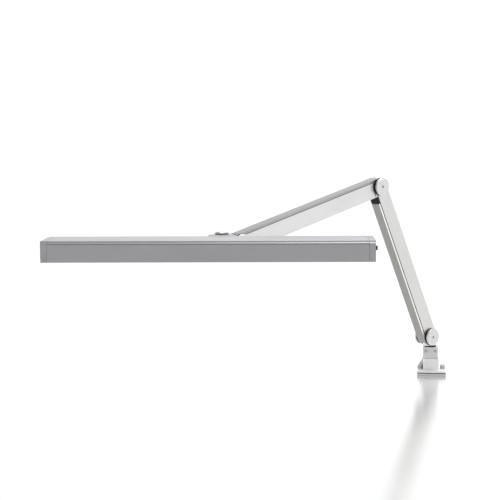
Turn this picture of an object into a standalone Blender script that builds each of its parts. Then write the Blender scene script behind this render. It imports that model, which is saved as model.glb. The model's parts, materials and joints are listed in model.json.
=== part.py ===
"""Bench work light: a linear LED head on a two-link friction arm with a screw-down flange.

Metres, +Z up. The origin is on the swivel axis, at the underside of the mounting plate.
The arm reaches from the base in the direction ARM_AZIMUTH; the head's long axis is X.
"""

import math

import bmesh
import bpy

# ---- driving dimensions -------------------------------------------------------------------
GAP = 0.0003            # clearance between pieces that touch
RUN = 0.00025           # radial clearance of a shaft in its bore

ARM_AZIMUTH = math.radians(221.5)
LOWER_LEAN = math.radians(25.7)      # lower arm, from vertical
UPPER_DROP = math.radians(13.9)      # upper arm, below level
LOWER_LENGTH = 0.4104                # pivot to pivot
UPPER_LENGTH = 0.4270
SHOULDER = (0.0135, 0.0925)          # reach from the swivel axis, height

PROFILE_HALF_HEIGHT = 0.02095        # arm extrusion, seen from the side
PROFILE_HALF_WIDTH = 0.0118          # arm extrusion, along the pivots
EAR = 0.0040                         # side wall of the extrusion, which is the clevis ear
WEB = 0.0030
COVER = 0.0047                       # clip-on cable cover
COVER_GROOVE = (0.0018, 0.0022)      # shadow groove beside the cover: height, depth
SLOT_DEPTH = 0.0240                  # clevis slot, from the pivot
SLOT_HALF = PROFILE_HALF_WIDTH - EAR
TONGUE_RADIUS = 0.0155
TONGUE_HALF = SLOT_HALF - 0.0009
BOLT_RADIUS = 0.0050
DISC_RADIUS = 0.0203
WASHER_THICK = 0.0042
DISC_THICK = 0.0045

COVER_WRAP = math.radians(15)        # how far the lower cover follows the round end
GUIDE_START = 0.0345                 # elbow cable guide, back from the pivot
GUIDE_END = 0.0175
ELBOW_CLOSE = math.radians(96.5)     # smallest angle between the two arms
ELBOW_RELIEF = 0.0218                # hollow in the upper arm's end, round the lower arm's ears
NECK_HALF = 0.0070

BASE_TURN = math.radians(-6)         # the base's square pieces, about the swivel axis
PLATE = (0.0690, 0.0800, 0.0049)     # mounting plate, and the flange above it
FLANGE_CENTRE = (0.0026, 0.0040)     # from the swivel axis
GASKET = 0.0016
FLANGE_TOP = 0.0115
SLEEVE = (0.0385, 0.0320)
SLEEVE_X = 0.0015
SLEEVE_TOP = 0.0376
HOUSING = (0.0362, 0.0310)
HOUSING_TOP = 0.0662
BUSH_RADIUS = 0.0107
SHAFT_RADIUS = 0.0080
SLEEVE_BORE = 0.0125
FLANGE_SCREW_X = 0.0268               # from the flange's centre
FLANGE_SCREW = (0.0058, 0.0095)      # head: radius, height
SCREW_HOLE = 0.0032
BENCH_HOLE = (0.0029, 0.0310)        # radius, distance from the flange's centre
RIB = (-0.0310, -0.0145, 0.0085)     # outer end, inner end, place in Y
HOUSING_SCREW = (0.0112, 0.0566)     # distance from the middle, height
SWIVEL_WASHER = (0.0135, 0.0028)
FOOT_TOP = 0.0710
GLAND_Z = 0.0245
GLAND_NECK = 0.0050
GLAND_BORE = 0.0038

HEAD_SWIVEL = 0.0400                 # from the wrist pivot, along the arm
BOSS_RADIUS = 0.0130
BOSS_TOP = 0.0159                    # heights from here on are from the wrist pivot
BOSS_BOTTOM = -0.0095
BRACKET_BOTTOM = 0.0177
BRACKET_TOP = 0.0217
CAP_TOP = 0.0275
CAP_RADIUS = 0.0165                  # to the corners of the hexagon
LINER_RADIUS = 0.0138
SWIVEL_BOLT = (0.0040, 0.0075)       # shank radius, head radius
TILT = (-0.0326, 0.0042)             # tilt axis from the swivel axis: Y and Z
CLAMP_HALF = 0.0200
CLAMP_RADIUS = 0.0090
TILT_SCREW = 0.0040

HEAD_LENGTH = 0.6550                 # places on the head are from the tilt axis
HEAD_X = -0.0214
HEAD_REAR = -0.0133
HEAD_DEPTH = 0.0975
HEAD_TOP = 0.0177
HEAD_HEIGHT = 0.0424
END_CAP = 0.0125
WALL = 0.0025
FRONT_EDGE = 0.0012                  # radius of the head's top edges
SHELF = (0.0030, 0.0056, 0.0024)     # sloping shelf in front: top and bottom below the head's top, depth
SEAM = (0.0062, 0.0074, 0.0010)      # groove below the shelf: top, bottom, depth
RAIL = (0.0040, 0.0068)              # rear T-slot: half its mouth, half its inside
RAIL_DEPTH = (0.0020, 0.0062)        # rear T-slot: lip, whole depth
BUTTON = (-0.0840, 0.0002)           # Y and Z
BUTTON_RADIUS = 0.0044
COLLAR_NECK = 0.0055

FINE = 24
COARSE = 16


# ---- materials ----------------------------------------------------------------------------
def material(name, colour, metallic, roughness):
    made = bpy.data.materials.new(name)
    made.use_nodes = True
    shader = made.node_tree.nodes["Principled BSDF"]
    shader.inputs["Base Color"].default_value = (*colour, 1.0)
    shader.inputs["Metallic"].default_value = metallic
    shader.inputs["Roughness"].default_value = roughness
    made.diffuse_color = (*colour, 1.0)
    return made


def make_materials():
    return {
        "arm_aluminium": material("arm_aluminium", (0.62, 0.62, 0.61), 1.0, 0.42),
        "cover_aluminium": material("cover_aluminium", (0.56, 0.56, 0.54), 1.0, 0.45),
        "disc_aluminium": material("disc_aluminium", (0.68, 0.68, 0.67), 1.0, 0.35),
        "head_aluminium": material("head_aluminium", (0.46, 0.46, 0.48), 1.0, 0.40),
        "cast_aluminium": material("cast_aluminium", (0.60, 0.60, 0.61), 1.0, 0.50),
        "black_plastic": material("black_plastic", (0.02, 0.02, 0.02), 0.0, 0.45),
        "rubber": material("rubber", (0.05, 0.05, 0.05), 0.0, 0.85),
        "steel": material("steel", (0.50, 0.50, 0.50), 1.0, 0.30),
        "chrome": material("chrome", (0.75, 0.75, 0.75), 1.0, 0.12),
        "bronze": material("bronze", (0.45, 0.30, 0.12), 1.0, 0.45),
        "opal": material("opal", (0.90, 0.90, 0.88), 0.0, 0.40),
        "board": material("board", (0.80, 0.80, 0.78), 0.0, 0.50),
        "driver_case": material("driver_case", (0.75, 0.75, 0.73), 0.0, 0.55),
    }


# ---- scene --------------------------------------------------------------------------------
def clear_scene():
    for obj in list(bpy.data.objects):
        bpy.data.objects.remove(obj)


def collection(name):
    made = bpy.data.collections.new(name)
    bpy.context.scene.collection.children.link(made)
    return made


def frame(name, parent=None, location=(0, 0, 0), rotation=(0, 0, 0)):
    """An empty on a joint axis, which the pieces of that body hang from."""
    empty = bpy.data.objects.new(name, None)
    empty.empty_display_size = 0.02
    empty.parent = parent
    empty.location = location
    empty.rotation_euler = rotation
    PARTS.objects.link(empty)
    return empty


def piece(name, mesh, look, parent, location=(0, 0, 0), rotation=(0, 0, 0), smooth=30):
    obj = bpy.data.objects.new(name, mesh)
    obj.data.materials.clear()
    obj.data.materials.append(MATERIALS[look])
    obj.parent = parent
    obj.location = location
    obj.rotation_euler = rotation
    mesh.shade_smooth()
    mesh.set_sharp_from_angle(angle=math.radians(smooth))
    PARTS.objects.link(obj)
    return obj


# ---- shapes -------------------------------------------------------------------------------
def box_mesh(low, high):
    mesh = bpy.data.meshes.new("box")
    made = bmesh.new()
    bmesh.ops.create_cube(made, size=1.0)
    for vert in made.verts:
        for i in range(3):
            vert.co[i] = (low[i] + high[i]) / 2 + vert.co[i] * (high[i] - low[i])
    made.to_mesh(mesh)
    made.free()
    return mesh


def outline_mesh(outlines, half_thickness):
    """A flat shape in XY, thick in Z. Outlines after the first are holes."""
    curve = bpy.data.curves.new("outline", "CURVE")
    curve.dimensions = "2D"
    curve.fill_mode = "BOTH"
    curve.extrude = half_thickness
    for points in outlines:
        spline = curve.splines.new("POLY")
        spline.points.add(len(points) - 1)
        for point, (x, y) in zip(spline.points, points, strict=True):
            point.co = (x, y, 0, 1)
        spline.use_cyclic_u = True
    guide = bpy.data.objects.new("outline", curve)
    bpy.context.scene.collection.objects.link(guide)
    graph = bpy.context.evaluated_depsgraph_get()
    mesh = bpy.data.meshes.new_from_object(guide.evaluated_get(graph))
    bpy.data.objects.remove(guide)
    made = bmesh.new()
    made.from_mesh(mesh)
    bmesh.ops.remove_doubles(made, verts=made.verts, dist=1e-6)
    bmesh.ops.recalc_face_normals(made, faces=made.faces)
    made.to_mesh(mesh)
    made.free()
    return mesh


def turned_mesh(profile, ring=False, steps=FINE):
    """A lathed shape about Z. The profile is (radius, height) pairs down its outer side."""
    mesh = bpy.data.meshes.new("turned")
    count = len(profile)
    edges = [(i, i + 1) for i in range(count - 1)] + ([(count - 1, 0)] if ring else [])
    mesh.from_pydata([(r, 0, z) for r, z in profile], edges, [])
    guide = bpy.data.objects.new("turned", mesh)
    bpy.context.scene.collection.objects.link(guide)
    screw = guide.modifiers.new("Screw", "SCREW")
    screw.steps = screw.render_steps = steps
    screw.use_merge_vertices = True
    screw.merge_threshold = 0.00001
    graph = bpy.context.evaluated_depsgraph_get()
    turned = bpy.data.meshes.new_from_object(guide.evaluated_get(graph))
    bpy.data.objects.remove(guide)
    return turned


def arc(centre, radius, start, end, steps=16):
    """Points on an arc; angles in degrees, both ends included."""
    angles = [math.radians(start + (end - start) * i / steps) for i in range(steps + 1)]
    return [(centre[0] + radius * math.cos(a), centre[1] + radius * math.sin(a)) for a in angles]


def hole(centre, radius, steps=COARSE):
    return arc(centre, radius, 0, 360, steps)[:-1]


def rounded(width, depth, radius, centre=(0, 0), steps=4):
    points = []
    for sx, sy, start in ((1, 1, 0), (-1, 1, 90), (-1, -1, 180), (1, -1, 270)):
        middle = (centre[0] + sx * (width / 2 - radius), centre[1] + sy * (depth / 2 - radius))
        points += arc(middle, radius, start, start + 90, steps)
    return points


def boolean(obj, other, operation="DIFFERENCE"):
    """Cuts or joins with a mesh that is given in the object's own frame."""
    if isinstance(other, bpy.types.Mesh):
        tool = bpy.data.objects.new(obj.name + "_tool", other)
        tool.parent = obj
        tool.hide_render = True
        tool.display_type = "WIRE"
        CUTTERS.objects.link(tool)
        other = tool
    modifier = obj.modifiers.new(operation.title(), "BOOLEAN")
    modifier.operation = operation
    modifier.object = other
    return other


def bevelled(obj, width, segments=1):
    bevel = obj.modifiers.new("Bevel", "BEVEL")
    bevel.width = width
    bevel.segments = segments
    bevel.limit_method = "ANGLE"
    bevel.angle_limit = math.radians(40)


SIDE = (math.pi / 2, 0, 0)               # an outline's XY becomes XZ
SECTION = (math.pi / 2, 0, math.pi / 2)  # an outline's XY becomes YZ, and its thickness X
TO_NEAR = (-math.pi / 2, 0, 0)           # a turned piece's top faces +Y
TO_FAR = (math.pi / 2, 0, 0)
TO_RIGHT = (0, math.pi / 2, 0)
TO_LEFT = (0, -math.pi / 2, 0)


# ---- base ---------------------------------------------------------------------------------
def plate_outline(inset=0.0):
    return rounded(PLATE[0] - inset, PLATE[1] - inset, 0.003, FLANGE_CENTRE)


def layer(name, outlines, low, high, look, parent):
    return piece(name, outline_mesh(outlines, (high - low) / 2), look, parent, (0, 0, (low + high) / 2))


def cap_screw(name, parent, location, rotation, radius, height, shank, length):
    socket = radius * 0.52
    profile = [
        (0, height * 0.45), (socket, height * 0.45), (socket, height), (radius * 0.86, height),
        (radius, height * 0.86), (radius, 0), (shank, 0), (shank, -length), (0, -length),
    ]
    return piece(name, turned_mesh(profile, steps=COARSE), "steel", parent, location, rotation)


def make_base(base):
    gasket_top = PLATE[2] + GAP + GASKET
    middle_x, middle_y = FLANGE_CENTRE
    screw_x = {"left": middle_x - FLANGE_SCREW_X, "right": middle_x + FLANGE_SCREW_X}
    screw_holes = [hole((x, 0), SCREW_HOLE) for x in screw_x.values()]
    bench_holes = [hole((middle_x, middle_y + sy * BENCH_HOLE[1]), BENCH_HOLE[0]) for sy in (-1, 1)]
    layer("mount_plate", [plate_outline(), *screw_holes, *bench_holes], 0, PLATE[2],
          "cast_aluminium", base)
    layer("base_gasket", [plate_outline(0.0006), *screw_holes], PLATE[2] + GAP, gasket_top,
          "rubber", base)
    make_flange(base, gasket_top + GAP, screw_holes)
    radius, height = FLANGE_SCREW
    for side, x in screw_x.items():
        cap_screw("flange_screw_" + side, base, (x, 0, FLANGE_TOP + GAP), (0, 0, 0),
                  radius, height, SCREW_HOLE - GAP, 0.0110)
    make_housing(base)
    make_gland(base)


def make_flange(base, bottom, screw_holes):
    """The flange with its square sleeve and its rib, one casting, bored for the cable gland."""
    flange = layer("base_flange", [plate_outline(), hole((0, 0), SLEEVE_BORE), *screw_holes],
                   bottom, FLANGE_TOP, "cast_aluminium", base)
    middle = (bottom + FLANGE_TOP) / 2
    sunk = FLANGE_TOP - 0.001
    sleeve = outline_mesh([rounded(*SLEEVE, 0.0025, (SLEEVE_X, 0)), hole((0, 0), SLEEVE_BORE)],
                          (SLEEVE_TOP - sunk) / 2)
    boolean(flange, sleeve, "UNION").location.z = (SLEEVE_TOP + sunk) / 2 - middle

    outer, inner, rib_y = RIB
    rib_top = SLEEVE_TOP - 0.001
    rib = [(outer, sunk), (inner, sunk), (inner, rib_top), (inner - 0.004, rib_top),
           (outer, FLANGE_TOP + 0.003)]
    tool = boolean(flange, outline_mesh([rib], 0.0020), "UNION")
    tool.location = (0, rib_y, -middle)
    tool.rotation_euler = SIDE

    neck = GLAND_NECK + GAP
    outside, inside = 0.012, -0.005
    cut = turned_mesh([(0, outside), (neck, outside), (neck, inside), (0, inside)], steps=COARSE)
    tool = boolean(flange, cut)
    tool.location = (0, SLEEVE[1] / 2, GLAND_Z - middle)
    tool.rotation_euler = TO_NEAR


def make_housing(base):
    """The square housing on the sleeve, its two small screws and the bush round the shaft."""
    low = SLEEVE_TOP + GAP
    housing = layer("swivel_housing", [rounded(*HOUSING, 0.0020), hole((0, 0), BUSH_RADIUS + GAP)],
                    low, HOUSING_TOP, "cast_aluminium", base)
    middle = (low + HOUSING_TOP) / 2
    screw_x, screw_z = HOUSING_SCREW
    shank, head = 0.0014, 0.0031
    for side, sx in (("left", -1), ("right", 1)):
        pocket = [(0, 0.003), (head + GAP, 0.003), (head + GAP, -0.0012), (shank + GAP, -0.0012),
                  (shank + GAP, -0.0048), (0, -0.0048)]
        tool = boolean(housing, turned_mesh(pocket, steps=COARSE))
        tool.location = (sx * screw_x, -HOUSING[1] / 2, screw_z - middle)
        tool.rotation_euler = TO_FAR
        profile = [(0, 0.0004), (0.0014, 0.0004), (0.0014, 0.0012), (0.0024, 0.0012),
                   (head, 0.0002), (head, -0.0009), (shank, -0.0009), (shank, -0.0045), (0, -0.0045)]
        piece("housing_screw_" + side, turned_mesh(profile, steps=COARSE), "steel", base,
              (sx * screw_x, -HOUSING[1] / 2, screw_z), TO_FAR)

    bush_top, bush_low = HOUSING_TOP - 0.0005, SLEEVE_TOP + 0.002
    bush = [(BUSH_RADIUS, bush_top), (BUSH_RADIUS, bush_low),
            (SHAFT_RADIUS + RUN, bush_low), (SHAFT_RADIUS + RUN, bush_top)]
    piece("swivel_bush", turned_mesh(bush, ring=True), "bronze", base)


def make_gland(base):
    length, radius, inside = 0.0120, 0.0078, -0.0025
    gland = [(radius - 0.0014, length), (radius, length - 0.0015), (radius, GAP), (GLAND_NECK, GAP),
             (GLAND_NECK, inside), (GLAND_BORE, inside), (GLAND_BORE, length)]
    piece("cable_gland", turned_mesh(gland, ring=True, steps=COARSE), "black_plastic", base,
          (0, SLEEVE[1] / 2, GLAND_Z), TO_NEAR)


# ---- turret -------------------------------------------------------------------------------
def knuckle_outline(pivot, low, half, radius):
    """A tongue that stands on a foot at height low and is round at the top, about its pivot."""
    x, z = pivot
    return [(x - half, low), (x + half, low)] + arc(pivot, radius, -60, 240, FINE)


def make_turret(turret):
    washer_low = HOUSING_TOP + GAP
    washer_top = washer_low + SWIVEL_WASHER[1]
    ring = [(SWIVEL_WASHER[0], washer_top), (SWIVEL_WASHER[0], washer_low),
            (SHAFT_RADIUS + RUN, washer_low), (SHAFT_RADIUS + RUN, washer_top)]
    piece("swivel_washer", turned_mesh(ring, ring=True), "black_plastic", turret)

    foot_low = washer_top + GAP
    foot_radius = 0.0125
    foot = [(0, FOOT_TOP), (foot_radius - 0.0003, FOOT_TOP), (foot_radius, FOOT_TOP - 0.0003),
            (foot_radius, foot_low), (0, foot_low)]
    knuckle = piece("shoulder_knuckle", turned_mesh(foot), "cast_aluminium", turret)
    outline = [knuckle_outline(SHOULDER, FOOT_TOP - 0.001, NECK_HALF, TONGUE_RADIUS),
               hole(SHOULDER, BOLT_RADIUS + RUN)]
    boolean(knuckle, outline_mesh(outline, TONGUE_HALF), "UNION").rotation_euler = SIDE

    shaft_low = 0.0130
    groove_low, groove_high = 0.0160, 0.0178
    core = SHAFT_RADIUS - 0.0012
    shaft = [(0, foot_low - GAP), (SHAFT_RADIUS, foot_low - GAP), (SHAFT_RADIUS, groove_high),
             (core, groove_high), (core, groove_low), (SHAFT_RADIUS, groove_low),
             (SHAFT_RADIUS - 0.001, shaft_low), (0, shaft_low)]
    piece("swivel_shaft", turned_mesh(shaft), "steel", turret)
    clip = arc((0, 0), 0.0105, 20, 340) + arc((0, 0), core + GAP, 340, 20)
    mesh = outline_mesh([clip], (groove_high - groove_low) / 2 - GAP)
    piece("retaining_ring", mesh, "steel", turret, (0, 0, (groove_high + groove_low) / 2))


# ---- pivots -------------------------------------------------------------------------------
def make_pivot(name, axis):
    """The friction pivot that rides in a clevis: bolt, washers and capping discs."""
    washer_low = PROFILE_HALF_WIDTH + GAP
    disc_low = washer_low + WASHER_THICK + GAP
    disc_top = disc_low + DISC_THICK
    bore = BOLT_RADIUS + RUN
    washer = [(DISC_RADIUS, washer_low + WASHER_THICK), (DISC_RADIUS, washer_low),
              (bore, washer_low), (bore, washer_low + WASHER_THICK)]
    disc = [(0, disc_top - 0.0015), (0.0024, disc_top - 0.0015), (0.0024, disc_top - 0.0004),
            (DISC_RADIUS - 0.0028, disc_top), (DISC_RADIUS - 0.0007, disc_top - 0.0004),
            (DISC_RADIUS, disc_top - 0.0012), (DISC_RADIUS, disc_low), (0, disc_low)]
    for side, turn in (("near", TO_NEAR), ("far", TO_FAR)):
        piece(f"{name}_washer_{side}", turned_mesh(washer, ring=True), "black_plastic", axis,
              rotation=turn)
        piece(f"{name}_disc_{side}", turned_mesh(disc), "disc_aluminium", axis, rotation=turn)
    end = disc_low - GAP
    bolt = [(0, end), (BOLT_RADIUS - 0.0006, end), (BOLT_RADIUS, end - 0.0006),
            (BOLT_RADIUS, 0.0006 - end), (BOLT_RADIUS - 0.0006, -end), (0, -end)]
    piece(f"{name}_bolt", turned_mesh(bolt, steps=COARSE), "steel", axis, rotation=TO_NEAR)


# ---- arms ---------------------------------------------------------------------------------
def cut_channel(profile, length, slots, cover_side):
    """Hollows an arm extrusion, and opens a clevis slot at each pivot in slots."""
    half_tunnel = PROFILE_HALF_HEIGHT - WEB
    edge = PROFILE_HALF_HEIGHT - COVER - GAP - WEB
    low, high = (-edge, half_tunnel) if cover_side < 0 else (-half_tunnel, edge)
    wall_left = 0.0033
    wide = PROFILE_HALF_WIDTH - wall_left
    closed_end = 0.0100
    boolean(profile, box_mesh((closed_end, low, -wide), (length - closed_end, high, wide)))
    rim = PROFILE_HALF_HEIGHT - COVER - GAP
    groove_low, groove_high = sorted((cover_side * (rim - COVER_GROOVE[0]), cover_side * (rim + GAP / 2)))
    inside, outside = PROFILE_HALF_WIDTH - COVER_GROOVE[1], PROFILE_HALF_WIDTH + 0.001
    beyond = 0.03
    for groove_sides in ((inside, outside), (-outside, -inside)):
        boolean(profile, box_mesh((-beyond, groove_low, groove_sides[0]),
                                  (length + beyond, groove_high, groove_sides[1])))
    for x in slots:
        towards = SLOT_DEPTH if x == 0 else -SLOT_DEPTH
        away = -beyond if x == 0 else beyond
        low_x, high_x = sorted((x + towards, x + away))
        boolean(profile, box_mesh((low_x, -beyond, -SLOT_HALF), (high_x, beyond, SLOT_HALF)))


def make_lower_arm(shoulder, elbow):
    half = PROFILE_HALF_HEIGHT
    inner = half - COVER - GAP
    end = (LOWER_LENGTH, 0)
    cover_end = 270 - math.degrees(COVER_WRAP)
    outline = [(LOWER_LENGTH, half)] + arc((0, 0), half, 90, cover_end - 3, FINE)
    outline += arc((0, 0), inner, cover_end - 3, 270, 4)
    outline += [(LOWER_LENGTH - GUIDE_END + GAP, -inner), (LOWER_LENGTH - GUIDE_END + GAP, -half)]
    outline += arc(end, half, -90, 90, FINE)[:-1]
    bores = [hole((0, 0), BOLT_RADIUS + RUN), hole(end, BOLT_RADIUS + RUN)]
    profile = piece("lower_arm_profile", outline_mesh([outline, *bores], PROFILE_HALF_WIDTH),
                    "arm_aluminium", shoulder, rotation=SIDE)
    cut_channel(profile, LOWER_LENGTH, (0, LOWER_LENGTH), -1)

    strip = arc((0, 0), half - COVER, 270, cover_end, 4) + arc((0, 0), half, cover_end, 270, 4)
    start = LOWER_LENGTH - GUIDE_START
    strip += [(start - GAP, -half), (start - GAP, COVER - half)]
    piece("lower_arm_cover", outline_mesh([strip], PROFILE_HALF_WIDTH), "cover_aluminium",
          shoulder, rotation=SIDE)
    guide = box_mesh((start, -PROFILE_HALF_WIDTH, -half),
                     (LOWER_LENGTH - GUIDE_END, PROFILE_HALF_WIDTH, COVER - half))
    bevelled(piece("elbow_cable_guide", guide, "black_plastic", shoulder), 0.0008, 2)
    make_pivot("shoulder", shoulder)
    make_pivot("elbow", elbow)


def relief_x(z):
    return math.sqrt(ELBOW_RELIEF**2 - z**2)


def make_upper_arm(upper, wrist):
    half = PROFILE_HALF_HEIGHT
    inner = half - COVER - GAP
    end = (UPPER_LENGTH, 0)
    normal = (math.sin(ELBOW_CLOSE), math.cos(ELBOW_CLOSE))
    corner_x = (ELBOW_RELIEF + half * normal[1]) / normal[0]
    touch = math.degrees(math.atan2(normal[1], normal[0]))
    top = math.degrees(math.asin(inner / ELBOW_RELIEF))
    outline = arc((0, 0), ELBOW_RELIEF, top, touch, 12) + [(corner_x, -half)]
    outline += arc(end, half, -90, 84, FINE) + [(UPPER_LENGTH + 0.0016, inner)]
    profile = piece("upper_arm_profile", outline_mesh([outline, hole(end, BOLT_RADIUS + RUN)],
                    PROFILE_HALF_WIDTH), "arm_aluminium", upper, rotation=SIDE)
    cut_channel(profile, UPPER_LENGTH, (UPPER_LENGTH,), 1)

    strip = [(relief_x(half), half), (relief_x(half - COVER / 2), half - COVER / 2)]
    strip += [(relief_x(half - COVER), half - COVER)]
    strip += [(UPPER_LENGTH, half - COVER), (UPPER_LENGTH, half)]
    piece("upper_arm_cover", outline_mesh([strip], PROFILE_HALF_WIDTH), "cover_aluminium",
          upper, rotation=SIDE)

    plug_low, plug_high = 0.0038 - half, inner - WEB - 0.0006
    plug_start, plug_end = 0.0270, 0.0700
    neck = 0.0110
    tongue = arc((0, 0), TONGUE_RADIUS, 60, 300, FINE)
    tongue += [(plug_start, -neck), (plug_start, plug_low), (plug_end, plug_low),
               (plug_end, plug_high), (plug_start, plug_high), (plug_start, neck)]
    piece("elbow_tongue", outline_mesh([tongue, hole((0, 0), BOLT_RADIUS + RUN)], TONGUE_HALF),
          "cast_aluminium", upper, rotation=SIDE)
    make_pivot("wrist", wrist)


# ---- wrist and bracket --------------------------------------------------------------------
def make_wrist(wrist):
    """The block between the arm's end and the head's swivel: a tongue with an upright boss."""
    neck_end = HEAD_SWIVEL - 0.004
    neck = arc((0, 0), TONGUE_RADIUS, 35, 325, FINE)
    neck += [(neck_end, BOSS_BOTTOM + 0.0005), (neck_end, 0.0085)]
    knuckle = piece("wrist_knuckle", outline_mesh([neck, hole((0, 0), BOLT_RADIUS + RUN)],
                    TONGUE_HALF), "cast_aluminium", wrist, rotation=SIDE)
    bore = SWIVEL_BOLT[0] + GAP
    through = turned_mesh([(0, 0.03), (bore, 0.03), (bore, -0.03), (0, -0.03)], steps=COARSE)
    edge = 0.0004
    boss = [(BOSS_RADIUS, BOSS_TOP - edge), (BOSS_RADIUS, BOSS_BOTTOM), (bore, BOSS_BOTTOM),
            (bore, BOSS_TOP), (BOSS_RADIUS - edge, BOSS_TOP)]
    boss = turned_mesh(boss, ring=True, steps=COARSE)
    for tool in (boolean(knuckle, through), boolean(knuckle, boss, "UNION")):
        tool.rotation_euler = (-math.pi / 2, 0, 0)
        tool.location = (HEAD_SWIVEL, 0, 0)
    low, high = BOSS_TOP + GAP, BRACKET_BOTTOM - GAP
    ring = [(BOSS_RADIUS, high), (BOSS_RADIUS, low), (bore, low), (bore, high)]
    piece("swivel_liner_lower", turned_mesh(ring, ring=True), "black_plastic", wrist,
          (HEAD_SWIVEL, 0, 0))


def make_bracket(bracket):
    """The plate on the head swivel, with two ears that carry the tilt screw, and its nut and bolt."""
    bore = SWIVEL_BOLT[0] + GAP
    tilt_y, tilt_z = TILT
    front = tilt_y - 0.0060
    wing = 0.0270
    wing_back = -0.0120
    ear_low, ear_high = CLAMP_HALF + 0.0018, wing
    outline = arc((0, 0), CAP_RADIUS + 0.0010, 20, 160, 12)
    outline += [(-wing, wing_back), (-wing, front), (wing, front), (wing, wing_back)]
    middle = (BRACKET_BOTTOM + BRACKET_TOP) / 2
    plate = piece("head_bracket", outline_mesh([outline, hole((0, 0), bore)],
                  (BRACKET_TOP - BRACKET_BOTTOM) / 2), "cast_aluminium", bracket, (0, 0, middle))
    ear_radius = 0.0100
    ear_top = BRACKET_BOTTOM + 0.001
    ear = arc(TILT, ear_radius, 180, 360, 16)
    ear += [(tilt_y + ear_radius, ear_top), (front + 0.0005, ear_top), (front + 0.0005, tilt_z + 0.0080)]
    for sx in (-1, 1):
        mesh = outline_mesh([ear, hole(TILT, TILT_SCREW + RUN)], (ear_high - ear_low) / 2)
        tool = boolean(plate, mesh, "UNION")
        tool.rotation_euler = SECTION
        tool.location = (sx * (ear_low + ear_high) / 2, 0, -middle)
    make_swivel_bolt(bracket, bore)
    make_tilt_screw(bracket, ear_low, ear_high)


def make_swivel_bolt(bracket, bore):
    cap_low = CAP_TOP - 0.0040
    low, high = BRACKET_TOP + GAP, cap_low - GAP
    ring = [(LINER_RADIUS, high), (LINER_RADIUS, low), (bore, low), (bore, high)]
    piece("swivel_liner_upper", turned_mesh(ring, ring=True), "black_plastic", bracket)
    socket = 0.0030
    cap = [(0, CAP_TOP - 0.0012), (socket, CAP_TOP - 0.0012), (socket, CAP_TOP),
           (CAP_RADIUS - 0.0027, CAP_TOP), (CAP_RADIUS, CAP_TOP - 0.0015), (CAP_RADIUS, cap_low),
           (0, cap_low)]
    piece("swivel_cap", turned_mesh(cap, steps=6), "chrome", bracket, rotation=(0, 0, math.pi / 6))
    shank, head = SWIVEL_BOLT
    top, seat = cap_low - GAP, BOSS_BOTTOM - GAP
    bottom = seat - 0.0032
    bolt = [(0, top), (shank, top), (shank, seat), (head, seat), (head, bottom), (0, bottom)]
    piece("head_swivel_bolt", turned_mesh(bolt, steps=COARSE), "steel", bracket)


def make_tilt_screw(bracket, ear_low, ear_high):
    low, high = CLAMP_HALF + GAP, ear_low - GAP
    ring = [(CLAMP_RADIUS, high), (CLAMP_RADIUS, low), (TILT_SCREW + RUN, low), (TILT_SCREW + RUN, high)]
    for side, turn in (("left", TO_LEFT), ("right", TO_RIGHT)):
        piece("tilt_washer_" + side, turned_mesh(ring, ring=True, steps=COARSE), "black_plastic",
              bracket, (0, *TILT), turn)
    seat = ear_high + GAP
    head_end = seat + 0.0045
    shank_end = -seat - 0.0060
    screw = [(0, seat + 0.0020), (0.0030, seat + 0.0020), (0.0030, head_end), (0.0062, head_end),
             (0.0070, head_end - 0.0008), (0.0070, seat), (TILT_SCREW, seat),
             (TILT_SCREW, shank_end), (0, shank_end)]
    piece("tilt_screw", turned_mesh(screw, steps=COARSE), "steel", bracket, (0, *TILT), TO_RIGHT)
    nut_half = 0.0025
    nut = outline_mesh([hole((0, 0), 0.0078, 6), hole((0, 0), TILT_SCREW + RUN)], nut_half)
    piece("tilt_nut", nut, "steel", bracket, (-seat - nut_half, *TILT), SECTION)


# ---- head ---------------------------------------------------------------------------------
def head_front():
    """The head's front in YZ, from the top edge down: rounded edge, shelf, seam and flat face."""
    front, top, low = HEAD_REAR - HEAD_DEPTH, HEAD_TOP, HEAD_TOP - HEAD_HEIGHT
    shelf_top, shelf_bottom, shelf_depth = SHELF
    seam_top, seam_bottom, seam_depth = SEAM
    step = front + shelf_depth
    face = front + 0.0006
    outer = arc((step + FRONT_EDGE, top - FRONT_EDGE), FRONT_EDGE, 90, 180, 3)
    outer += [(step, top - shelf_top), (front, top - shelf_bottom), (front, top - seam_top)]
    outer += [(front + seam_depth, top - seam_top), (front + seam_depth, top - seam_bottom)]
    return outer + [(face, top - seam_bottom), (face, low + 0.0016), (front + 0.0010, low)]


def head_back_edge():
    return arc((HEAD_REAR - FRONT_EDGE, HEAD_TOP - FRONT_EDGE), FRONT_EDGE, 0, 90, 3)


def head_section():
    """The extrusion's section in YZ: open below, stepped in front, with a T-slot behind."""
    rear, top = HEAD_REAR, HEAD_TOP
    front, low = HEAD_REAR - HEAD_DEPTH, HEAD_TOP - HEAD_HEIGHT
    mouth, inside = RAIL
    lip, deep = RAIL_DEPTH
    keep = 0.0042                    # width of the lips that hold the diffuser
    lip_top = low + 0.0012
    corner = front + SHELF[2] + 0.0031
    block = inside + 0.0024
    floor = rear - deep - 0.0022
    outer = [*head_front(), (front + keep, low)]
    inner = [(front + keep, lip_top), (front + WALL, lip_top), (front + WALL, top - 0.0100)]
    inner += [(corner, top - 0.0080), (corner, top - WALL)]
    inner += [(rear - WALL, top - WALL), (rear - WALL, block), (floor, block), (floor, -block)]
    inner += [(rear - WALL, -block), (rear - WALL, lip_top), (rear - keep, lip_top)]
    back = [(rear - keep, low), (rear - 0.0010, low), (rear, low + 0.0010), (rear, -mouth)]
    back += [(rear - lip, -mouth), (rear - lip, -inside), (rear - deep, -inside)]
    back += [(rear - deep, inside), (rear - lip, inside), (rear - lip, mouth), (rear, mouth)]
    return outer + inner + back + head_back_edge()


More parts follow.
